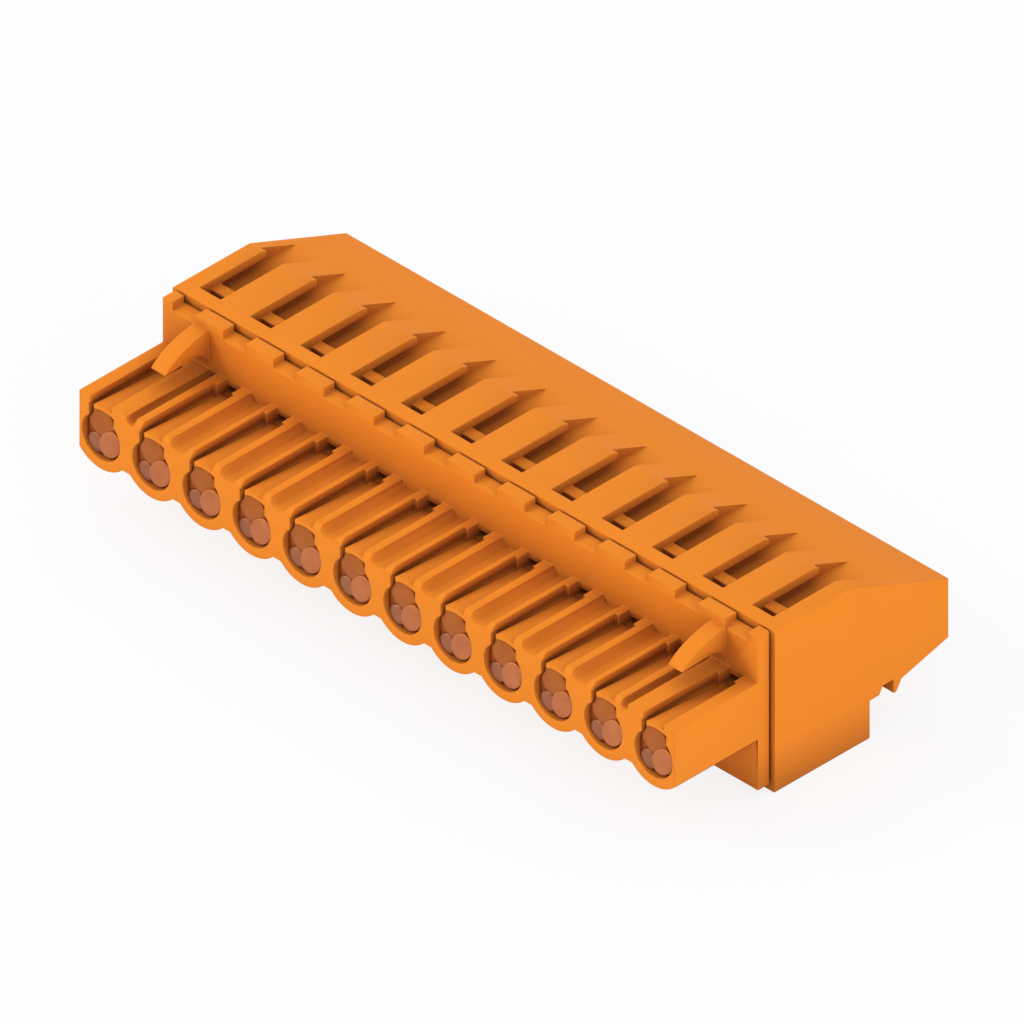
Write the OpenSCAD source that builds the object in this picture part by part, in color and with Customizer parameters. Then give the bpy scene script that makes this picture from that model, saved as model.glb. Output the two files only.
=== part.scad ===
// Pluggable terminal block: a row of spring clamps in a moulded housing, closed at the front by a
// moulded row of sockets that plugs onto the pins of a board header.
// X runs along the row of poles, Y from the socket mouths to the wire entries, Z is up.
// The origin is in the middle of the block's bounding box, at the height of its foot.

/* [Row] */
// Number of poles
poles = 12; // [4:1:12]
// Distance from one pole to the next
pitch = 5.08; // [5:0.01:6]
// Gap between pieces that slide into each other
fit_gap = 0.1; // [0.05:0.01:0.15]

/* [Clamp housing] */
// Height of the flat top above the foot
block_h = 14.1; // [13.6:0.1:16]
// Length from the seam to the rear face
housing_len = 17.55; // [16.5:0.05:20]
// Length of the flat top behind the seam
top_len = 7.6; // [7:0.1:9]
// Fall of the sloping top towards the rear, in degrees
slope_deg = 22; // [15:1:24]
// Height of the rear face that the wires enter
rear_h = 5.13; // [4.8:0.01:6]
// Length of the foot that the block stands on
foot_len = 9.6; // [9.2:0.1:10.2]
// Height of the step behind the foot
step_z = 3.33; // [2.8:0.01:3.6]
// Length of that step up to the notch's slope
ledge_len = 0.96; // [0.8:0.02:1.2]
// Height of the notch ceiling in front of the lip
notch_z = 4; // [3.7:0.05:4.3]
// Run of the slope from the step up to the notch ceiling
ledge_slope = 0.38; // [0.2:0.02:0.6]
// Distance of the lip's front face behind the foot
lip_back = 2.4; // [2.1:0.1:2.8]
// Thickness of the lip at its tip
lip_t = 0.28; // [0.2:0.02:0.4]
// Height of the lip's tip above the foot
lip_z = 2.8; // [2.4:0.05:3.2]
// Height of the lip's root on the sloping underside
lip_root_z = 3.7; // [3.4:0.05:4]
// Growth of the lip's thickness from its tip to its root
lip_taper = 0.56; // [0.3:0.02:0.8]
// Bevel on the outer edges of both mouldings
edge_bevel = 0.12; // [0.05:0.01:0.2]

/* [Clamp chambers] */
// Width of one chamber
chamber_w = 3.9; // [3.7:0.05:4.1]
// Depth of a chamber behind the seam
chamber_len = 8.2; // [8:0.1:8.6]
// Thickness of the floor under a chamber
chamber_floor = 1.4; // [1:0.1:2]
// Thickness of the roof over a chamber
chamber_roof = 2.2; // [2:0.05:2.5]
// Radius of the wire entry
wire_r = 1.6; // [1.3:0.05:1.8]
// Radius of the funnel at the mouth of the wire entry
funnel_r = 2.05; // [1.9:0.05:2.2]
// Depth of that funnel
funnel_len = 1.2; // [0.8:0.1:2]

/* [Release slots] */
// Width of a slot in the flat top
slot_w = 2.12; // [1.8:0.02:2.4]
// Distance of a slot's front end behind the seam
slot_front = 1.3; // [1.1:0.05:1.6]
// Length of the opening that reaches down to the spring
probe_len = 1.15; // [0.8:0.05:1.3]
// Length of the web behind that opening
web_len = 1.05; // [0.9:0.05:1.4]
// Thickness of the skin that overhangs the pocket
skin_t = 0.75; // [0.6:0.05:0.9]
// Depth of the pocket floor below the flat top
pocket_d = 1.55; // [1.4:0.05:1.7]
// Reach of the pocket under the skin
undercut_w = 0.55; // [0.3:0.05:0.7]
// Distance that the skin runs on past the flat top
skin_over = 0.5; // [0.2:0.05:0.8]

/* [Socket housing] */
// Reach of the sockets in front of the seam
nose_len = 9.77; // [9:0.01:11]
// Distance of the wall's front face from the seam
wall_t = 1.365; // [1.2:0.005:1.6]
// Width of the open seam round the wall
seam_gap = 0.2; // [0.1:0.02:0.3]
// Depth of the open seam
seam_depth = 0.6; // [0.4:0.05:0.8]
// Step from the clamp housing's ends to those of the socket housing
side_step = 0.375; // [0.2:0.005:0.5]
// Height of the wall's lower edge above the foot
wall_z = 0.73; // [0.4:0.01:1]
// Width of the notches in the wall's top edge
notch_w = 2.28; // [1.8:0.02:2.8]
// Depth of those notches
notch_d = 0.56; // [0.3:0.02:0.7]
// Length of the slope at the front of a notch's floor
notch_slope_len = 0.68; // [0.4:0.02:1]
// Fall of that slope
notch_slope_fall = 0.26; // [0.1:0.02:0.4]
// Length of the plugs that centre the wall in the chambers
plug_len = 1; // [0.6:0.1:1.1]

/* [Sockets] */
// Height of the socket axis above the foot
socket_z = 7.2; // [7.1:0.05:7.4]
// Outer radius of a socket
socket_r = 2.96; // [2.8:0.02:3.1]
// Radius of a socket's bore
bore_r = 1.88; // [1.85:0.01:1.95]
// Drop of the bore's axis below the socket's
bore_drop = 0.22; // [0.15:0.01:0.25]
// Depth of that bore behind the mouth
bore_len = 3.4; // [3:0.1:4]
// Chamfer at the mouth of that bore
mouth_bevel = 0.06; // [0.05:0.01:0.1]
// Radius of the arched top of the opening over the bore
arch_r = 2.35; // [2.2:0.05:2.5]
// Height of that top above the socket axis
arch_up = 2.17; // [2.1:0.01:2.2]
// Distance of the arch's middle to the right of the socket's
arch_shift = 0.3; // [0.1:0.05:0.4]
// Distance of the opening's right side from the socket's middle
arch_x = 1.28; // [1.2:0.02:1.4]
// Depth of that opening behind the mouth
arch_len = 0.5; // [0.45:0.05:0.7]
// Width of the web between two sockets
web_w = 0.75; // [0.5:0.05:1]
// Height of that web's lower edge
web_z = 5.17; // [4.9:0.01:5.4]

/* [Ribs on the sockets] */
// Height of the ribs above the foot
rib_z = 10.12; // [9.9:0.02:10.3]
// Bevel at the front end of each rib
rib_bevel = 0.35; // [0.1:0.05:0.5]
// Width of the groove over a socket
groove_w = 2.13; // [1.9:0.01:2.4]
// Height of the groove's floor at the mouth
groove_z = 9.6; // [9.5:0.02:9.8]
// Drop of that floor from the mouth to the wall
groove_fall = 0.58; // [0.4:0.02:0.6]
// Width of the gutter along the groove's left side
gutter_w = 0.35; // [0.25:0.05:0.45]
// Reach of that gutter under the rib
gutter_under = 0.15; // [0.1:0.01:0.2]
// Height of the rib's wall over the gutter
rib_skin = 0.62; // [0.5:0.02:0.7]
// Width of the step that narrows the groove on its left near the wall
jog_w = 0.36; // [0.2:0.02:0.6]
// Width of the step on its right
jog_right_w = 0.3; // [0.1:0.05:0.5]
// Length of those steps
jog_len = 1.03; // [0.6:0.01:1.4]
// Height of the vent in the wall at the groove's end
vent_h = 0.58; // [0.5:0.02:0.8]
// Width of the hollow between the ribs of neighbouring poles
hollow_w = 1.83; // [1.6:0.01:1.9]
// Depth of that hollow
hollow_d = 0.65; // [0.5:0.05:0.7]
// Distance of the hollow's middle from the line between two poles
hollow_shift = 0.12; // [0:0.02:0.2]
// Width of the slot beside each latch hook
hook_slot_w = 0.78; // [0.6:0.02:0.9]
// Distance of that slot's middle from the line between the two end poles
hook_slot_in = 0.42; // [0.3:0.02:0.5]
// Depth of that slot
hook_slot_d = 0.63; // [0.5:0.01:0.8]

/* [Latch hooks] */
// Width of a hook
hook_w = 1.46; // [1.2:0.02:1.6]
// Distance from the end pole's middle to the hook's near side
hook_x = 1.06; // [1:0.02:1.2]
// Reach of a hook in front of the wall
hook_len = 4.435; // [4:0.005:5]
// Depth of the hook's root below the flat top
hook_root_d = 0.65; // [0.4:0.05:0.9]
// Distance in front of the wall at which the hook's back bends down
hook_bend_len = 3.2; // [2.4:0.1:3.4]
// Fall of the hook's back from its root to that bend
hook_bend_fall = 0.45; // [0.3:0.05:0.7]
// Depth of the hook's tip below the flat top
hook_tip_d = 2.5; // [2.3:0.05:2.8]
// Depth of the hook's straight underside below the flat top
hook_under_d = 2.38; // [2.1:0.02:2.4]
// Radius of the gusset under the hook
gusset_r = 1.6; // [1.3:0.05:1.8]

/* [Contacts] */
// Thickness of the contact's bar
bar_t = 0.6; // [0.5:0.05:0.65]
// Width of the contact's bar
bar_w = 2.4; // [2:0.05:2.5]
// Height of the bar's underside above the socket axis
bar_up = 0.85; // [0.8:0.05:0.9]
// Length of the bar behind the seam
bar_len = 7; // [6.8:0.1:7.4]
// Thickness of the channel's sides and of the leaves
leaf_t = 0.35; // [0.25:0.05:0.4]
// Depth of the channel's sides below the socket axis
side_down = 1.2; // [1:0.05:1.3]
// Distance of the channel's front end behind the mouth
channel_back = 2.6; // [2.2:0.1:3]
// Height of the sheet over the three leaves above the socket axis
top_leaf_up = 0.62; // [0.5:0.02:0.7]
// Radius of the top leaf's domed head
top_head_r = 0.9; // [0.8:0.02:0.95]
// Height of that head's middle above the socket axis
top_head_up = 0.92; // [0.85:0.01:1]
// Distance of that head's crown behind the mouth
top_head_back = 0.03; // [0.02:0.01:0.1]
// Radius of the domed heads of the two side leaves
side_head_r = 0.84; // [0.7:0.02:0.86]
// Distance of those heads' middles from the socket's middle
side_head_x = 0.87; // [0.85:0.01:0.92]
// Depth of those heads' middles below the socket axis
side_head_down = 0.62; // [0.5:0.02:0.7]
// Distance of those heads' crowns behind the mouth
side_head_back = 0.05; // [0.02:0.01:0.2]
// Height of a head's dome
dome_h = 0.12; // [0.1:0.01:0.2]
// Thickness of a head under its dome
head_t = 0.25; // [0.2:0.05:0.3]
// Height of the side leaves
side_leaf_h = 1.1; // [0.8:0.1:1.3]

/* [Clamp springs] */
// Width of the spring strip
spring_w = 3.4; // [3.1:0.05:3.5]
// Thickness of the spring strip
spring_t = 0.4; // [0.3:0.05:0.5]
// Clearance between the top leg and the chamber's roof
roof_gap = 0.45; // [0.3:0.05:0.7]
// Outer radius of the small bend over the window leg
knee_r = 0.8; // [0.7:0.05:1]
// Distance of the window leg behind the seam
leg_y = 1.4; // [1.3:0.05:1.6]
// Distance from the window leg to the end of the leg on the bar
leg_gap = 0.6; // [0.4:0.1:1]
// Clearance between the big bend and the chamber's rear
loop_gap = 0.6; // [0.3:0.1:0.9]
// Free height of the window above the bar
window_free = 0.9; // [0.6:0.1:1.2]
// Height of the rail under the window
rail_h = 0.8; // [0.6:0.1:1.2]

/* [Hidden] */
function two_digits(i) = i < 10 ? str("0", i) : str(i);
function numbered(name) = [for (i = [1:poles]) str(name, "_", two_digits(i))];
$fn = 64;
hook_steps = 12;
cut = 0.5;
row_w = poles * pitch;
seam_y = (nose_len - housing_len) / 2;
slope = tan(slope_deg);
rear_top_z = block_h - (housing_len - top_len) * slope;
lip_y = foot_len + lip_back;
inner_w = row_w - 2 * side_step;
roof_z = block_h - chamber_roof;
groove_end_z = groove_z - groove_fall;
groove_half = groove_w / 2;
hook_slot_x = (poles / 2 - 1) * pitch - hook_slot_in;
bore_z = socket_z - bore_drop;
bar_z = socket_z + bar_up;
bar_top_z = bar_z + bar_t;
spring_top_z = roof_z - roof_gap;
loop_r = (spring_top_z - bar_top_z) / 2;
loop_y = chamber_len - loop_gap - loop_r;
channel_y = channel_back - nose_len;
orange = [0.93, 0.54, 0.19];
copper = [0.75, 0.46, 0.32];
steel = [0.62, 0.64, 0.66];

function pole_x(i) = (i - (poles - 1) / 2) * pitch;

// Puts a piece that is drawn from the seam into the block's own frame
module seated() {
    translate([0, seam_y, 0]) children();
}

// Extrudes an outline drawn in Y and Z over a width along X, centred
module along_x(w) {
    translate([-w / 2, 0, 0]) rotate([90, 0, 90]) linear_extrude(w) children();
}

// A cylinder along Y from one place to another, at a height above the foot
module rod_y(r, from, to, z) {
    translate([0, from, z]) rotate([-90, 0, 0]) cylinder(r = r, h = to - from);
}

// A box between two corners
module block(low, high) {
    translate(low) cube(high - low);
}

module at_poles() {
    for (i = [0:poles - 1]) translate([pole_x(i), 0, 0]) children();
}

// Cuts for the long edges at the two ends of a moulding: four-sided rods laid along Y
module end_bevels(w, y0, y1, z) {
    for (side = [-1, 1]) translate([side * w / 2, y0 - cut, z]) rotate([-90, 0, 0])
        cylinder(r = edge_bevel, h = y1 - y0 + 2 * cut, $fn = 4);
}

// Side view of the clamp housing, from the seam to the rear face
module housing_outline() {
    polygon([
        [0, 0], [foot_len, 0], [foot_len, step_z], [foot_len + ledge_len, step_z],
        [foot_len + ledge_len + ledge_slope, notch_z], [lip_y, notch_z], [lip_y, lip_z],
        [lip_y + lip_t, lip_z], [lip_y + lip_t + lip_taper, lip_root_z],
        [housing_len, rear_top_z - rear_h], [housing_len, rear_top_z], [top_len, block_h], [0, block_h]
    ]);
}

// Chamber for one clamp, open at the seam
module clamp_chamber() {
    block([-chamber_w / 2, -cut, chamber_floor], [chamber_w / 2, chamber_len, roof_z]);
}

// Round wire entry with its funnel, from the rear face into the chamber
module wire_entry() {
    rod_y(wire_r, chamber_len - cut, housing_len + cut, socket_z);
    translate([0, housing_len - funnel_len, socket_z]) rotate([-90, 0, 0])
        cylinder(r1 = wire_r, r2 = funnel_r, h = funnel_len);
}

// Slot in the flat top: opening to the spring, web, and a pocket that runs out through the slope
module release_slot() {
    half = slot_w / 2;
    web_y = slot_front + probe_len;
    pocket_y = web_y + web_len;
    skin_y = top_len + skin_over;
    block([-half, slot_front, roof_z - cut], [half, web_y, block_h + cut]);
    block([-half, slot_front, block_h - skin_t], [half, housing_len + cut, block_h + cut]);
    block([-half - undercut_w, pocket_y, block_h - pocket_d], [half, housing_len + cut, block_h - skin_t]);
    block([-half - undercut_w, skin_y, block_h - pocket_d], [half, housing_len + cut, block_h + cut]);
}

module clamp_housing() {
    color(orange) seated() difference() {
        along_x(row_w) housing_outline();
        at_poles() {
            clamp_chamber();
            wire_entry();
            release_slot();
        }
        end_bevels(row_w, 0, top_len, block_h);
        end_bevels(row_w, 0, foot_len, 0);
    }
}

// The wall that closes the chambers, set off from the seam round its rim
module wall_plate() {
    block([-inner_w / 2, -wall_t, wall_z], [inner_w / 2, -seam_gap, block_h]);
    block(
        [seam_depth - inner_w / 2, -wall_t, wall_z + seam_depth],
        [inner_w / 2 - seam_depth, 0, block_h - notch_d - seam_depth]
    );
}

// Plug behind the wall that centres it in one chamber, with the core that joins it to the wall
module chamber_plug() {
    half = chamber_w / 2 - fit_gap;
    block([-half, 0, chamber_floor + fit_gap], [half, plug_len, roof_z - fit_gap]);
    block(
        [seam_depth - half, -wall_t, chamber_floor + seam_depth],
        [half - seam_depth, plug_len, roof_z - seam_depth]
    );
}

// Notches in the wall's top edge, over each pole
module wall_notches() {
    floor_z = block_h - notch_d;
    at_poles() {
        block([-notch_w / 2, -wall_t - cut, floor_z], [notch_w / 2, 0, block_h + cut]);
        along_x(notch_w) polygon([
            [-wall_t - cut, floor_z - notch_slope_fall * (1 + cut / notch_slope_len)],
            [-wall_t - cut, block_h], [notch_slope_len - wall_t, block_h],
            [notch_slope_len - wall_t, floor_z]
        ]);
    }
}

// Round underside of one socket, trimmed flat at its sides
module socket_tube() {
    half = (pitch - web_w) / 2;
    intersection() {
        rod_y(socket_r, -nose_len, -seam_gap, socket_z);
        block([-half, -nose_len - cut, 0], [half, 0, socket_z]);
    }
}

// Row of sockets in one piece, before its bores and grooves are cut
module socket_row() {
    block([-inner_w / 2, -nose_len, web_z], [inner_w / 2, -seam_gap, rib_z]);
    at_poles() socket_tube();
}

// Bore of one socket: round from the mouth, then a channel that the contact fits
module socket_bore() {
    half = bar_w / 2 + fit_gap;
    rod_y(bore_r, -nose_len - cut, bore_len - nose_len, bore_z);
    translate([0, -nose_len - cut, bore_z]) rotate([-90, 0, 0])
        cylinder(r1 = bore_r + mouth_bevel + cut, r2 = bore_r, h = mouth_bevel + cut);
    block(
        [-half, channel_y - fit_gap, socket_z - side_down - fit_gap],
        [half, plug_len + cut, bar_top_z + fit_gap]
    );
}

// Opening over the bore for the top leaf, with flat sides and an arched top, and its slit up to the gutter
module mouth_arch() {
    intersection() {
        translate([arch_shift, 0, 0])
            rod_y(arch_r, -nose_len - cut, arch_len - nose_len, socket_z + arch_up - arch_r);
        block([-groove_half, -nose_len - cut, bore_z], [arch_x, 0, rib_z]);
    }
    block(
        [-groove_half - gutter_under, -nose_len - cut, bore_z],
        [gutter_w - groove_half, arch_len - nose_len, rib_z - rib_skin]
    );
}

// Height of the groove's floor, which falls from the mouth to the wall
function groove_floor(y) = groove_z - groove_fall * (y + nose_len) / (nose_len - wall_t);

// Gutter along the groove's left side, as low as the groove's end, which reaches in under the rib
module gutter() {
    end = -wall_t - jog_len;
    block([-groove_half, -nose_len - cut, groove_end_z], [gutter_w - groove_half, end, rib_z + cut]);
    block(
        [-groove_half - gutter_under, -nose_len - cut, groove_end_z],
        [gutter_w - groove_half, end, rib_z - rib_skin]
    );
}

// Groove over one socket, with its gutter, its steps and the vent in the wall
module socket_groove() {
    module floor_cut(x0, x1, y0, y1) {
        translate([(x0 + x1) / 2, 0, 0]) along_x(x1 - x0)
            polygon([[y0, groove_floor(y0)], [y1, groove_floor(y1)], [y1, rib_z + cut], [y0, rib_z + cut]]);
    }
    left = jog_w - groove_half;
    right = groove_half - jog_right_w;
    gutter();
    floor_cut(-groove_half, groove_half, -nose_len - cut, -wall_t - jog_len);
    floor_cut(left, right, -wall_t - jog_len - cut, -wall_t);
    block([left, -wall_t - cut, groove_end_z], [right, plug_len + cut, groove_end_z + vent_h]);
}

// Bevel across the front ends of the ribs, from one hook's slot to the other's
module rib_fronts() {
    along_x(2 * hook_slot_x) polygon([
        [-nose_len - cut, rib_z - rib_bevel - cut], [-nose_len - cut, rib_z + cut],
        [rib_bevel + cut - nose_len, rib_z + cut]
    ]);
}

// Hollow between two poles, drawn at the place where they meet: a wide arc with a steeper one on its left
module rib_hollow() {
    r = (hollow_w * hollow_w / 4 + hollow_d * hollow_d) / (2 * hollow_d);
    translate([hollow_shift, 0, 0]) rod_y(r, -nose_len - cut, -wall_t, rib_z - hollow_d + r);
    translate([hollow_shift + hollow_d - hollow_w / 2, 0, 0]) rod_y(hollow_d, -nose_len - cut, -wall_t, rib_z);
}

// Slot with a round bottom beside a latch hook
module hook_slot() {
    half = hook_slot_w / 2;
    block([-half, -nose_len - cut, rib_z - hook_slot_d + half], [half, -wall_t, rib_z + cut]);
    rod_y(half, -nose_len - cut, -wall_t, rib_z - hook_slot_d + half);
}

// Point of the hook's curved back: a quadratic curve from its root past a bend to its tip
function hook_back(t) =
    let (root = [-wall_t, block_h - hook_root_d])
    let (knee = [-wall_t - hook_bend_len, block_h - hook_root_d - hook_bend_fall])
    let (tip = [-wall_t - hook_len, block_h - hook_tip_d])
    (1 - t) * (1 - t) * root + 2 * t * (1 - t) * knee + t * t * tip;

// One latch hook with its gusset, drawn with its near side at x = 0
module latch_hook() {
    under_z = block_h - hook_under_d;
    translate([hook_w / 2, 0, 0]) difference() {
        along_x(hook_w) polygon(concat(
            [for (i = [0:hook_steps]) hook_back(i / hook_steps)],
            [
                [-wall_t - gusset_r, under_z], [-wall_t - gusset_r, under_z - gusset_r],
                [-seam_gap, under_z - gusset_r], [-seam_gap, under_z], [-wall_t, under_z]
            ]
        ));
        translate([-hook_w, -wall_t - gusset_r, under_z - gusset_r]) rotate([0, 90, 0])
            cylinder(r = gusset_r, h = 2 * hook_w);
    }
}

// The two hooks, mirrored about the middle of the row
module latch_hooks() {
    for (side = [0, 1]) mirror([side, 0, 0]) translate([pole_x(0) + hook_x, 0, 0]) latch_hook();
}

module socket_housing() {
    color(orange) seated() union() {
        difference() {
            union() {
                wall_plate();
                socket_row();
                at_poles() chamber_plug();
            }
            at_poles() {
                socket_bore();
                mouth_arch();
                socket_groove();
            }
            rib_fronts();
            for (i = [1:poles - 3]) translate([pole_x(i) + pitch / 2, 0, 0]) rib_hollow();
            for (side = [-1, 1]) translate([side * hook_slot_x, 0, 0]) hook_slot();
            wall_notches();
            end_bevels(inner_w, -wall_t, -seam_gap, block_h);
        }
        latch_hooks();
    }
}

// Domed head at the end of a leaf: a flat disc with a spherical cap, its crown towards the mouth
module leaf_head(r) {
    ball_r = (r * r + dome_h * dome_h) / (2 * dome_h);
    intersection() {
        translate([0, ball_r, 0]) sphere(ball_r);
        rod_y(r, 0, dome_h, 0);
    }
    rod_y(r, dome_h, dome_h + head_t, 0);
}

// Side view of the top leaf: it comes down from the bar and runs on to its head
module top_leaf_outline() {
    low = socket_z + top_leaf_up;
    front = top_head_back + dome_h - nose_len;
    mid = (front + channel_y) / 2;
    polygon([
        [channel_y + leaf_t, bar_top_z], [channel_y, bar_top_z], [mid, low + leaf_t], [front, low + leaf_t],
        [front, low], [mid, low], [channel_y, bar_z], [channel_y + leaf_t, bar_z]
    ]);
}

// Plan view of the right-hand leaf: it runs in from the channel's side to its head
module side_leaf_plan() {
    half = bar_w / 2;
    front = side_head_back + dome_h - nose_len;
    mid = (front + channel_y) / 2;
    in = side_head_x - leaf_t / 2;
    polygon([
        [half - leaf_t, channel_y + leaf_t], [half, channel_y + leaf_t], [half, channel_y],
        [in + leaf_t, mid], [in + leaf_t, front], [in, front], [in, mid], [half - leaf_t, channel_y]
    ]);
}

// The three leaves that grip a pin, each with its head
module leaves() {
    along_x(top_head_r) top_leaf_outline();
    translate([0, top_head_back - nose_len, socket_z + top_head_up]) leaf_head(top_head_r);
    for (side = [0, 1]) mirror([side, 0, 0]) {
        translate([0, 0, socket_z - side_down]) linear_extrude(side_leaf_h) side_leaf_plan();
        translate([side_head_x, side_head_back - nose_len, socket_z - side_head_down])
            leaf_head(side_head_r);
    }
}

// Contact of one pole: bar under the spring, channel in the socket, and three leaves
module socket_contact(i) {
    half = bar_w / 2;
    color(copper) seated() translate([pole_x(i), 0, 0]) {
        block([-half, channel_y, bar_z], [half, bar_len, bar_top_z]);
        for (side = [0, 1]) mirror([side, 0, 0])
            block([half - leaf_t, channel_y, socket_z - side_down], [half, 0, bar_z]);
        leaves();
    }
}

// Part of a bent strip: a ring's piece that lies in a box to one side of the bend's centre
module bend(r, low, high) {
    intersection() {
        difference() {
            circle(r);
            circle(r - spring_t);
        }
        translate(low) square(high - low);
    }
}

// Side view of the spring strip: leg on the bar, big bend, top leg, knee and window leg
module spring_outline() {
    top_leg_z = spring_top_z - spring_t;
    bearing_y = leg_y + spring_t + leg_gap;
    translate([bearing_y, bar_top_z]) square([loop_y - bearing_y, spring_t]);
    translate([loop_y, bar_top_z + loop_r]) bend(loop_r, [0, -loop_r], [loop_r, loop_r]);
    translate([leg_y + knee_r, top_leg_z]) square([loop_y - leg_y - knee_r, spring_t]);
    translate([leg_y + knee_r, spring_top_z - knee_r]) bend(knee_r, [-knee_r, 0], [0, knee_r]);
    translate([leg_y, bar_z - rail_h]) square([spring_t, spring_top_z - knee_r - bar_z + rail_h]);
}

// Clamp spring of one pole: the bar and the wire pass through the window in its front leg
module clamp_spring(i) {
    half = bar_w / 2 + fit_gap;
    color(steel) seated() translate([pole_x(i), 0, 0]) difference() {
        along_x(spring_w) spring_outline();
        block([-half, leg_y - cut, bar_z], [half, leg_y + spring_t + cut, bar_top_z + window_free]);
    }
}

clamp_housing();
socket_housing();
for (i = [0:poles - 1]) socket_contact(i);
for (i = [0:poles - 1]) clamp_spring(i);
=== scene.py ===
"""Looks of the pluggable terminal block: moulded orange plastic, bare copper and bright clamp springs."""

import math
from collections import namedtuple

import bmesh
import bpy
import numpy as np
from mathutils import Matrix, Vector


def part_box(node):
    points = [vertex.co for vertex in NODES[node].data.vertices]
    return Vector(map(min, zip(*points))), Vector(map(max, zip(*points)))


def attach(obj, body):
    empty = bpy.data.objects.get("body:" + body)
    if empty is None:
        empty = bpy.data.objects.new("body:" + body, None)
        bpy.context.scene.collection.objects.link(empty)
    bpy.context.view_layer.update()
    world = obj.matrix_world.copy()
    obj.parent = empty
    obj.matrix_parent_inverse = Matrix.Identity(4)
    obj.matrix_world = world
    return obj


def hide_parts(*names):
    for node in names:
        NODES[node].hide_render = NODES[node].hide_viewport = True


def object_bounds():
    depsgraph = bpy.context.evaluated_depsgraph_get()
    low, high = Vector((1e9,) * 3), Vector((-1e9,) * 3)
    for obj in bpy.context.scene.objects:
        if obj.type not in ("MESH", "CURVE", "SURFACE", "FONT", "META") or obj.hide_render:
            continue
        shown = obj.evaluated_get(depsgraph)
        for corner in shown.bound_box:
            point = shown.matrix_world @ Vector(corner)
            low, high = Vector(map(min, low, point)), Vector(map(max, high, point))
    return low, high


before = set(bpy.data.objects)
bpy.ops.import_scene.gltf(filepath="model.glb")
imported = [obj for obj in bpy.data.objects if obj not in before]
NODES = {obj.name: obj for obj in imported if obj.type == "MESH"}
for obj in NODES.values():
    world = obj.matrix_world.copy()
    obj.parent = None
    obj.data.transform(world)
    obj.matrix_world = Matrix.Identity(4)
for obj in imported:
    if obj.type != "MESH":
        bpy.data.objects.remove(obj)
cad_low, cad_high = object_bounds()
MM = 0.001
BODY = "root"

# The photograph is a parallel view from the front right.
VIEW_AZIMUTH = math.radians(45)
VIEW_ELEVATION = math.radians(35)
VIEW_WIDTH = 73.22 * MM
VIEW_TARGET = Vector((-0.52, 0.505, 7.05)) * MM
# Metres from the camera to the target, and to the nearest and farthest points that it shows
VIEW_DISTANCE = 0.4
VIEW_NEAR, VIEW_FAR = 0.01, 2


def new_object(name, data):
    """An object with that name and data, linked into the scene at the origin."""
    made = bpy.data.objects.new(name, data)
    bpy.context.scene.collection.objects.link(made)
    return made


def place_camera():
    """Camera on the line back = (sin a cos e, -cos a cos e, sin e), with azimuth a and elevation e, from the
    point that the picture is centred on."""
    camera = new_object("photo_camera", bpy.data.cameras.new("photo_camera"))
    back = Vector((
        math.sin(VIEW_AZIMUTH) * math.cos(VIEW_ELEVATION),
        -math.cos(VIEW_AZIMUTH) * math.cos(VIEW_ELEVATION),
        math.sin(VIEW_ELEVATION),
    ))
    camera.data.type = "ORTHO"
    camera.data.ortho_scale = VIEW_WIDTH
    camera.data.clip_start = VIEW_NEAR
    camera.data.clip_end = VIEW_FAR
    camera.location = VIEW_TARGET + back * VIEW_DISTANCE
    camera.rotation_mode = "QUATERNION"
    camera.rotation_quaternion = (-back).to_track_quat("-Z", "Y")
    bpy.context.scene.camera = camera


place_camera()

OPENNESS_SAMPLES = 8


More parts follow.
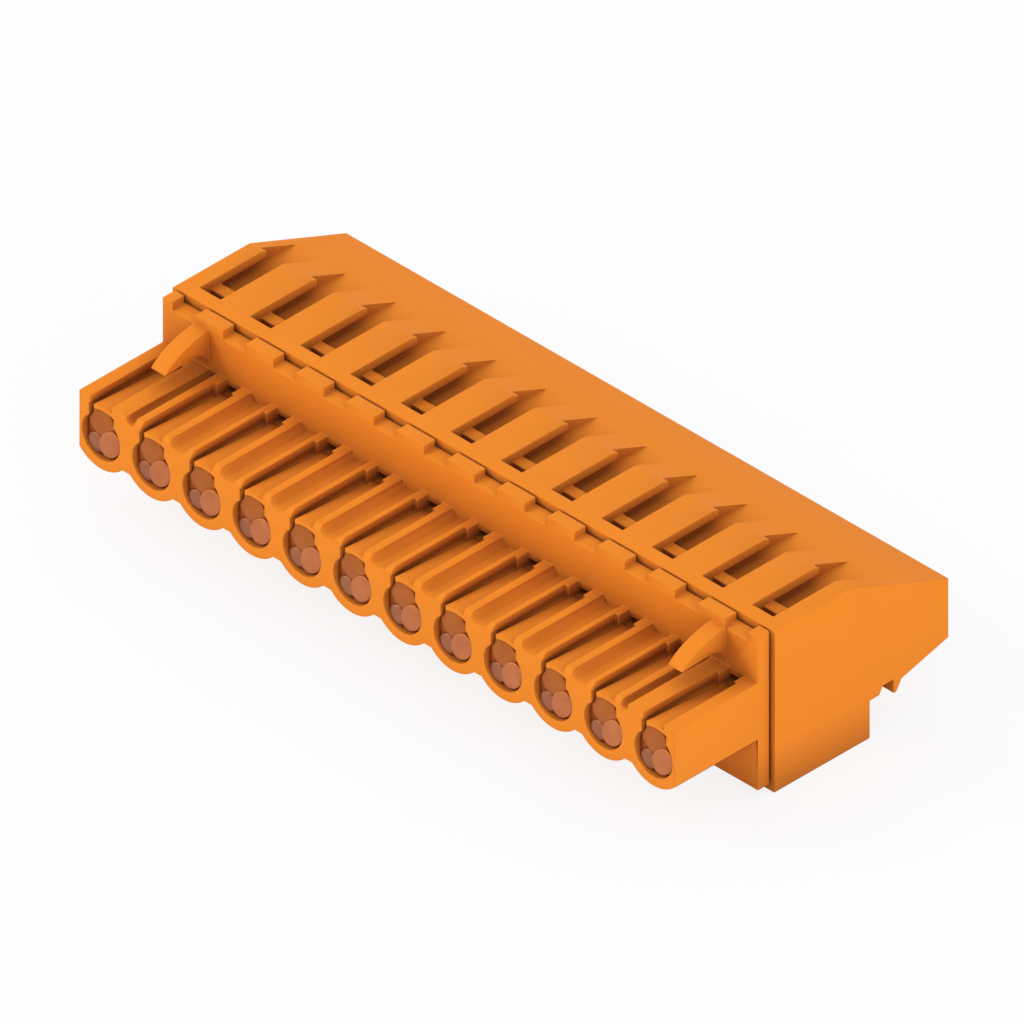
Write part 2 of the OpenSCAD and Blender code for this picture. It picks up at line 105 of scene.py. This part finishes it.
class Shader:
    """A material's node tree with short calls for the nodes used here."""

    def __init__(self, name):
        self.material = bpy.data.materials.new(name)
        self.material.use_nodes = True
        self.nodes = self.material.node_tree.nodes
        self.links = self.material.node_tree.links
        self.bsdf = self.nodes["Principled BSDF"]
        self.output = self.nodes["Material Output"]
        self.place = self.nodes.new("ShaderNodeTexCoord").outputs["Object"]

    def link(self, source, target):
        """Feeds the target from the source."""
        self.links.new(source, target)

    def noise(self, scale, detail, roughness=0.5, stretch=(1, 1, 1)):
        """Noise in object space; scale counts features per metre, stretch lengthens them along an axis."""
        mapping = self.nodes.new("ShaderNodeMapping")
        mapping.inputs["Scale"].default_value = tuple(1 / s for s in stretch)
        self.link(self.place, mapping.inputs["Vector"])
        node = self.nodes.new("ShaderNodeTexNoise")
        node.inputs["Scale"].default_value = scale
        node.inputs["Detail"].default_value = detail
        node.inputs["Roughness"].default_value = roughness
        self.link(mapping.outputs["Vector"], node.inputs["Vector"])
        return node.outputs["Fac"]

    def ramp(self, value, ends, dark, light):
        """Colour that runs from dark where value is at the first of the two ends to light at the second."""
        node = self.nodes.new("ShaderNodeValToRGB")
        for element, position, colour in zip(node.color_ramp.elements, ends, (dark, light)):
            element.position = position
            element.color = (*colour, 1)
        self.link(value, node.inputs["Fac"])
        return node.outputs["Color"]

    def spread(self, value, ends):
        """Number that runs from the first of the two ends to the second as value runs from 0 to 1."""
        node = self.nodes.new("ShaderNodeMapRange")
        node.inputs["To Min"].default_value, node.inputs["To Max"].default_value = ends
        self.link(value, node.inputs["Value"])
        return node.outputs["Result"]

    def painted_hollow_shade(self, colour, tone, reach):
        """Painted shade: the colour times tone where the surface is closed in within reach, unchanged where
        it is open.
        """
        openness = self.nodes.new("ShaderNodeAmbientOcclusion")
        openness.samples = OPENNESS_SAMPLES
        openness.inputs["Distance"].default_value = reach
        shade = self.nodes.new("ShaderNodeMix")
        shade.data_type = "RGBA"
        shade.blend_type = "MULTIPLY"
        shade.inputs["Factor"].default_value = 1
        self.link(colour, shade.inputs["A"])
        self.link(self.ramp(openness.outputs["AO"], (0, 1), tone, (1, 1, 1)), shade.inputs["B"])
        return shade.outputs["Result"]

    def bump(self, height, distance, strength):
        """Surface normal over a relief: height from 0 to 1 stands for distance in metres."""
        node = self.nodes.new("ShaderNodeBump")
        node.inputs["Strength"].default_value = strength
        node.inputs["Distance"].default_value = distance
        self.link(height, node.inputs["Height"])
        return node.outputs["Normal"]


# In the finishes below, clouds, grain and marks are counted in features per metre.
ORANGE = (0.845, 0.248, 0.022)
PLASTIC_CLOUDS = 260
PLASTIC_CLOUD_ENDS = (0.35, 0.65)
PLASTIC_CLOUD_TONE = 0.98
PLASTIC_GRAIN = 9000
PLASTIC_GRAIN_DEPTH = 0.01 * MM
PLASTIC_GRAIN_STRENGTH = 0.25
PLASTIC_ROUGHNESS = (0.46, 0.6)
PLASTIC_SHEEN = 0.04
# Painted shade: the orange is multiplied by this tone where the surface is closed in within this reach
PLASTIC_PAINTED_SHADE_TONE = (0.28, 0.27, 0.9)
PLASTIC_PAINTED_SHADE_REACH = 4.2 * MM


def moulded_plastic(name):
    """Matte moulded polyamide: even orange with a faint cloud, fine spark-eroded grain, soft sheen, and
    painted shade in its hollows.
    """
    s = Shader(name)
    cloud = s.noise(PLASTIC_CLOUDS, detail=2)
    tone = s.ramp(cloud, PLASTIC_CLOUD_ENDS, tuple(c * PLASTIC_CLOUD_TONE for c in ORANGE), ORANGE)
    s.link(s.painted_hollow_shade(tone, PLASTIC_PAINTED_SHADE_TONE, PLASTIC_PAINTED_SHADE_REACH), s.bsdf.inputs["Base Color"])
    grain = s.noise(PLASTIC_GRAIN, detail=2, roughness=0.6)
    s.link(s.spread(grain, PLASTIC_ROUGHNESS), s.bsdf.inputs["Roughness"])
    s.link(s.bump(grain, PLASTIC_GRAIN_DEPTH, PLASTIC_GRAIN_STRENGTH), s.bsdf.inputs["Normal"])
    s.bsdf.inputs["Specular IOR Level"].default_value = PLASTIC_SHEEN
    return s.material


COPPER_CLOUDS = 900
COPPER_CLOUD_ENDS = (0.3, 0.7)
ROLLING_MARKS = 9000
ROLLING_STRETCH = (1, 14, 1)
ROLLING_DEPTH = 0.004 * MM
ROLLING_STRENGTH = 0.3
COPPER_ROUGHNESS = (0.5, 0.62)
# Painted shade: the copper is multiplied by this tone where the surface is closed in within this reach
COPPER_PAINTED_SHADE_TONE = (0.7, 0.65, 0.6)
COPPER_PAINTED_SHADE_REACH = 1.2 * MM


def bare_copper(name, dark, light):
    """Bare copper alloy strip: satin, with rolling marks along its length, a slight cloud in its tone, and
    painted shade in its hollows.
    """
    s = Shader(name)
    cloud = s.noise(COPPER_CLOUDS, detail=3)
    tone = s.ramp(cloud, COPPER_CLOUD_ENDS, dark, light)
    s.link(s.painted_hollow_shade(tone, COPPER_PAINTED_SHADE_TONE, COPPER_PAINTED_SHADE_REACH), s.bsdf.inputs["Base Color"])
    marks = s.noise(ROLLING_MARKS, detail=2, stretch=ROLLING_STRETCH)
    s.link(s.spread(marks, COPPER_ROUGHNESS), s.bsdf.inputs["Roughness"])
    s.link(s.bump(marks, ROLLING_DEPTH, ROLLING_STRENGTH), s.bsdf.inputs["Normal"])
    s.bsdf.inputs["Metallic"].default_value = 1
    return s.material


DRAWING_MARKS = 12000
DRAWING_STRETCH = (1, 10, 10)
DRAWING_ENDS = (0.3, 0.7)
STEEL_DARK, STEEL_LIGHT = (0.5, 0.51, 0.52), (0.62, 0.63, 0.64)
STEEL_ROUGHNESS = (0.2, 0.32)


def spring_steel():
    """Bright stainless strip: smooth, with fine drawing marks along the strip."""
    s = Shader("spring_steel")
    marks = s.noise(DRAWING_MARKS, detail=2, stretch=DRAWING_STRETCH)
    s.link(s.ramp(marks, DRAWING_ENDS, STEEL_DARK, STEEL_LIGHT), s.bsdf.inputs["Base Color"])
    s.link(s.spread(marks, STEEL_ROUGHNESS), s.bsdf.inputs["Roughness"])
    s.bsdf.inputs["Metallic"].default_value = 1
    return s.material


HOUSING_PLASTIC = moulded_plastic("housing_plastic")
SOCKET_PLASTIC = moulded_plastic("socket_plastic")
CONTACT_METAL = bare_copper("bare_copper", (0.53, 0.175, 0.065), (0.62, 0.21, 0.082))
# Painted shade: the next two are the same copper made darker, the first for the left head, the second and
# warmer one for the top head and the root
DARK_SHADED_CONTACT_METAL = bare_copper("dark_shaded_bare_copper", (0.37, 0.14, 0.07), (0.43, 0.165, 0.085))
WARM_SHADED_CONTACT_METAL = bare_copper("warm_shaded_bare_copper", (0.46, 0.135, 0.03), (0.53, 0.16, 0.036))
SPRING_METAL = spring_steel()

# Corners nearer than WELD_REACH are one, and faces that turn by less than FLAT_TURN lie in one plane
WELD_REACH = 0.0005 * MM
FLAT_TURN = math.radians(0.6)
# Edges that turn by more than SHARP_TURN are rounded
SHARP_TURN = math.radians(30)
EDGE_SEGMENTS = 2
CLAMP_EDGE_R = 0.06 * MM
SOCKET_EDGE_R = 0.05 * MM
SOCKET_MOST_SIDES = 150


def set_material(mesh, material):
    """The material as the mesh's only one."""
    mesh.materials.clear()
    mesh.materials.append(material)


def mesh_points(mesh):
    """The mesh's points as an array with a row (x, y, z) for each."""
    points = np.empty(len(mesh.vertices) * 3)
    mesh.vertices.foreach_get("co", points)
    return points.reshape(-1, 3)


def bevelled_in_box(piece, box):
    """The piece's mesh with its modifiers applied, each point moved into the box if it lies just outside."""
    mesh = bpy.data.meshes.new_from_object(piece.evaluated_get(bpy.context.evaluated_depsgraph_get()))
    mesh.vertices.foreach_set("co", np.clip(mesh_points(mesh), *box).ravel())
    return mesh


def welded_copy(node, most_sides=math.inf):
    """A copy of the node's mesh: its loose triangles joined where their corners meet, and flat ones merged
    into one face. A face with more sides than most_sides is split again, because a bevel that ends on it can
    fold it."""
    mesh = NODES[node].data.copy()
    welded = bmesh.new()
    welded.from_mesh(mesh)
    bmesh.ops.remove_doubles(welded, verts=welded.verts, dist=WELD_REACH)
    bmesh.ops.dissolve_limit(
        welded, angle_limit=FLAT_TURN, verts=welded.verts, edges=welded.edges, delimit={"NORMAL"}
    )
    bmesh.ops.triangulate(welded, faces=[face for face in welded.faces if len(face.verts) > most_sides])
    welded.to_mesh(mesh)
    welded.free()
    return mesh


def rounded_moulding(node, material, edge_r, most_sides=math.inf):
    """A welded copy of a moulding's solid with its sharp edges rounded, in place of the node."""
    mesh = welded_copy(node, most_sides)
    set_material(mesh, material)
    mesh.shade_smooth()
    piece = new_object(node + "_moulded", mesh)
    bevel = piece.modifiers.new("edges", "BEVEL")
    bevel.width = edge_r
    bevel.segments = EDGE_SEGMENTS
    bevel.limit_method = "ANGLE"
    bevel.angle_limit = SHARP_TURN
    bevel.use_clamp_overlap = False
    bevel.harden_normals = True
    piece.data = bevelled_in_box(piece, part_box(node))
    piece.modifiers.clear()
    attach(piece, BODY)
    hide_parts(node)


rounded_moulding("clamp_housing", HOUSING_PLASTIC, CLAMP_EDGE_R)
rounded_moulding("socket_housing", SOCKET_PLASTIC, SOCKET_EDGE_R, SOCKET_MOST_SIDES)

# A head of a contact's leaf in millimetres: place across and above the foot, half width and half height,
# depth of the crown behind the mouth, height of the dome, depth of the back, and rise for each millimetre to
# the right
Head = namedtuple("Head", "x z half_w half_h crown dome back rise")
TOP_HEAD = Head(x=-0.2, z=8.02, half_w=1.3, half_h=1.22, crown=0.14, dome=0.2, back=0.48, rise=0)
LEFT_HEAD = Head(x=-0.78, z=6.08, half_w=0.78, half_h=0.84, crown=0.12, dome=0.2, back=1.5, rise=0)
RIGHT_HEAD = Head(x=0.78, z=6.63, half_w=1.09, half_h=1.15, crown=0.02, dome=0.14, back=1.5, rise=0.3)
# The root that closes the bore behind the heads has the same form
LEAF_ROOT = Head(x=0, z=6.98, half_w=1.84, half_h=1.84, crown=0.46, dome=0.06, back=1.5, rise=0)
HEAD_SIDES = 40
DOME_RINGS = 8
HEAD_SHARP_TURN = math.radians(40)
# Opening that the heads stay in, in millimetres: the round bore, and the arch above the bore's middle
BORE_Z = 6.98
BORE_R = 1.85
ARCH_LEFT = 1.04
ARCH_RIGHT = 1.25
# The solid's own heads end at this depth behind the mouth, and the top one lies above this height
SOLID_HEAD_DEPTH = 0.44 * MM
SOLID_HEAD_SPLIT = 7.4 * MM
# They keep this share of their width and height, and go back by this much
SOLID_HEAD_SHARE = 0.5
SOLID_HEAD_RETREAT = 0.5 * MM


def inside_opening(x, z):
    """x moved to the nearer side of the opening where it lies outside. Half the bore's width at height z is
    c = sqrt(BORE_R^2 - (z - BORE_Z)^2), and above the bore's middle the arch may be wider than c."""
    c = np.sqrt(np.maximum(BORE_R**2 - (z - BORE_Z) ** 2, 0))
    above = z > BORE_Z
    left = np.where(above, np.maximum(c, ARCH_LEFT), c)
    right = np.where(above, np.maximum(c, ARCH_RIGHT), c)
    return np.clip(x, -left, right)


def domed_head(middle_x, mouth_y, head):
    """Points (middle_x + u, mouth_y + d, w) in metres, and the faces between them. Here
    u = x + half_w r cos t and w = z + half_h r sin t + rise (u - x), with r = sin a and
    d = crown + dome (1 - cos a) over the dome, then r = 1 down to d = back, and a point in the back's middle.
    Where (u, w) lies outside the opening, u is moved to the opening's side."""
    a = np.linspace(0, math.pi / 2, DOME_RINGS + 1)[1:]
    r = np.append(np.sin(a), 1)[:, None]
    d = np.append(head.crown + head.dome * (1 - np.cos(a)), head.back)[:, None]
    t = np.arange(HEAD_SIDES) * 2 * math.pi / HEAD_SIDES
    u = head.x + head.half_w * r * np.cos(t)
    w = head.z + head.half_h * r * np.sin(t) + head.rise * (u - head.x)
    rings = np.stack([inside_opening(u, w), np.repeat(d, HEAD_SIDES, axis=1), w], axis=-1).reshape(-1, 3)
    front_middle = [head.x, head.crown, head.z]
    back_middle = [head.x, head.back, head.z]
    points = np.vstack([front_middle, rings, back_middle]) * MM + (middle_x, mouth_y, 0)

    here = np.arange(HEAD_SIDES)
    after = (here + 1) % HEAD_SIDES
    ring = 1 + HEAD_SIDES * np.arange(DOME_RINGS)[:, None]
    deeper = ring + HEAD_SIDES
    last_ring = 1 + HEAD_SIDES * DOME_RINGS
    last_point = np.full(HEAD_SIDES, last_ring + HEAD_SIDES)
    front = np.stack([np.zeros(HEAD_SIDES, int), 1 + here, 1 + after], axis=-1)
    sides = np.stack([ring + here, deeper + here, deeper + after, ring + after], axis=-1).reshape(-1, 4)
    back = np.stack([last_ring + here, last_point, last_ring + after], axis=-1)
    return points, front.tolist() + sides.tolist() + back.tolist()


def add_head(name, points, faces, material):
    """A closed piece of contact metal, its faces turned outwards, smooth over the dome, sharp at its rim."""
    mesh = bpy.data.meshes.new(name)
    mesh.from_pydata(points.tolist(), [], faces)
    set_material(mesh, material)
    outwards = bmesh.new()
    outwards.from_mesh(mesh)
    bmesh.ops.recalc_face_normals(outwards, faces=outwards.faces)
    outwards.to_mesh(mesh)
    outwards.free()
    mesh.shade_smooth()
    mesh.set_sharp_from_angle(angle=HEAD_SHARP_TURN)
    piece = new_object(name, mesh)
    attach(piece, BODY)


def retreated_heads(points, middle_x, mouth_y):
    """The contact's points, where each of the solid's own heads is moved behind its larger one: centred on
    it, SOLID_HEAD_SHARE as large, and SOLID_HEAD_RETREAT further back."""
    in_front = points[:, 1] < mouth_y + SOLID_HEAD_DEPTH
    upper = points[:, 2] > SOLID_HEAD_SPLIT
    left = points[:, 0] < middle_x
    moved = points.copy()
    for side, head in ((upper, TOP_HEAD), (~upper & left, LEFT_HEAD), (~upper & ~left, RIGHT_HEAD)):
        own = in_front & side
        from_middle = points[own] - points[own].mean(axis=0)
        moved[own, 0] = middle_x + head.x * MM + from_middle[:, 0] * SOLID_HEAD_SHARE
        moved[own, 1] += SOLID_HEAD_RETREAT
        moved[own, 2] = head.z * MM + from_middle[:, 2] * SOLID_HEAD_SHARE
    return moved


def finished_contact(node):
    """A copy of the contact's solid with its own heads moved back, in place of the node, and larger heads."""
    low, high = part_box(node)
    middle_x = (low[0] + high[0]) / 2
    mouth_y = cad_low[1]
    mesh = welded_copy(node)
    mesh.vertices.foreach_set("co", retreated_heads(mesh_points(mesh), middle_x, mouth_y).ravel())
    set_material(mesh, CONTACT_METAL)
    piece = new_object(node + "_finished", mesh)
    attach(piece, BODY)
    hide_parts(node)
    # The top head and the root wear the warm painted-shade copper, and the left head wears the dark
    # painted-shade copper
    for part, head, metal in (
        ("top_head", TOP_HEAD, WARM_SHADED_CONTACT_METAL),
        ("leaf_root", LEAF_ROOT, WARM_SHADED_CONTACT_METAL),
        ("left_head", LEFT_HEAD, DARK_SHADED_CONTACT_METAL),
        ("right_head", RIGHT_HEAD, CONTACT_METAL),
    ):
        add_head(f"{node}_{part}", *domed_head(middle_x, mouth_y, head), metal)


for name, node in NODES.items():
    if name.startswith("socket_contact"):
        finished_contact(name)
    if name.startswith("clamp_spring"):
        set_material(node.data, SPRING_METAL)

# In metres, from the middle of the floor to its sides
FLOOR_REACH = 1.5
FLOOR_TONE = (0.9, 0.9, 0.9)
FLOOR_ROUGHNESS = 0.9
# Share of plain white in what the camera sees of the floor; the rest shows the shadow
FLOOR_WHITE_SHARE = 0.85


def background_rays(tree):
    """1 for a ray that shows the background: from the camera, off a gloss, or through something clear."""
    path = tree.nodes.new("ShaderNodeLightPath")
    total = path.outputs["Is Camera Ray"]
    for kind in ("Is Glossy Ray", "Is Transmission Ray"):
        either = tree.nodes.new("ShaderNodeMath")
        either.operation = "MAXIMUM"
        tree.links.new(total, either.inputs[0])
        tree.links.new(path.outputs[kind], either.inputs[1])
        total = either.outputs["Value"]
    return total


def pale_floor():
    """A wide floor under the block: nearly white where the camera sees it, with a soft part of the shadow."""
    corners = [(x * FLOOR_REACH, y * FLOOR_REACH, cad_low.z) for x, y in ((-1, -1), (1, -1), (1, 1), (-1, 1))]
    mesh = bpy.data.meshes.new("floor")
    mesh.from_pydata(corners, [], [(0, 1, 2, 3)])
    floor = new_object("floor", mesh)
    s = Shader("pale_floor")
    s.bsdf.inputs["Base Color"].default_value = (*FLOOR_TONE, 1)
    s.bsdf.inputs["Roughness"].default_value = FLOOR_ROUGHNESS
    s.bsdf.inputs["Specular IOR Level"].default_value = 0
    glow = s.nodes.new("ShaderNodeEmission")
    glow.inputs["Strength"].default_value = 1
    share = s.nodes.new("ShaderNodeMath")
    share.operation = "MULTIPLY"
    share.inputs[1].default_value = FLOOR_WHITE_SHARE
    s.link(background_rays(s.material.node_tree), share.inputs[0])
    mix = s.nodes.new("ShaderNodeMixShader")
    s.link(share.outputs["Value"], mix.inputs["Fac"])
    s.link(s.bsdf.outputs["BSDF"], mix.inputs[1])
    s.link(glow.outputs["Emission"], mix.inputs[2])
    s.link(mix.outputs["Shader"], s.output.inputs["Surface"])
    set_material(mesh, s.material)


ROOM_STRENGTH = 0.86
# Name, place and diameter in metres, power in watts
LAMPS = [
    ("key_left", (-0.25, -0.25, 0.26), 0.12, 0.45),
    ("fill_right", (0.4, -0.1, 0.12), 0.3, 0.4),
]


def studio_light():
    """A white room that lights evenly, a soft lamp from the front left and a broader one from the right."""
    world = bpy.data.worlds.new("studio")
    bpy.context.scene.world = world
    world.use_nodes = True
    nodes, links = world.node_tree.nodes, world.node_tree.links
    room = nodes["Background"]
    room.inputs["Color"].default_value = (1, 1, 1, 1)
    room.inputs["Strength"].default_value = ROOM_STRENGTH
    seen = nodes.new("ShaderNodeBackground")
    seen.inputs["Color"].default_value = (1, 1, 1, 1)
    seen.inputs["Strength"].default_value = 1
    mix = nodes.new("ShaderNodeMixShader")
    links.new(background_rays(world.node_tree), mix.inputs["Fac"])
    links.new(room.outputs["Background"], mix.inputs[1])
    links.new(seen.outputs["Background"], mix.inputs[2])
    links.new(mix.outputs["Shader"], nodes["World Output"].inputs["Surface"])
    for name, place, size, power in LAMPS:
        lamp = new_object(name, bpy.data.lights.new(name, "AREA"))
        lamp.data.shape = "DISK"
        lamp.data.size = size
        lamp.data.energy = power
        lamp.location = place
        lamp.rotation_mode = "QUATERNION"
        lamp.rotation_quaternion = (-lamp.location).to_track_quat("-Z", "Y")


pale_floor()
studio_light()
bpy.context.scene.view_settings.view_transform = "Standard"
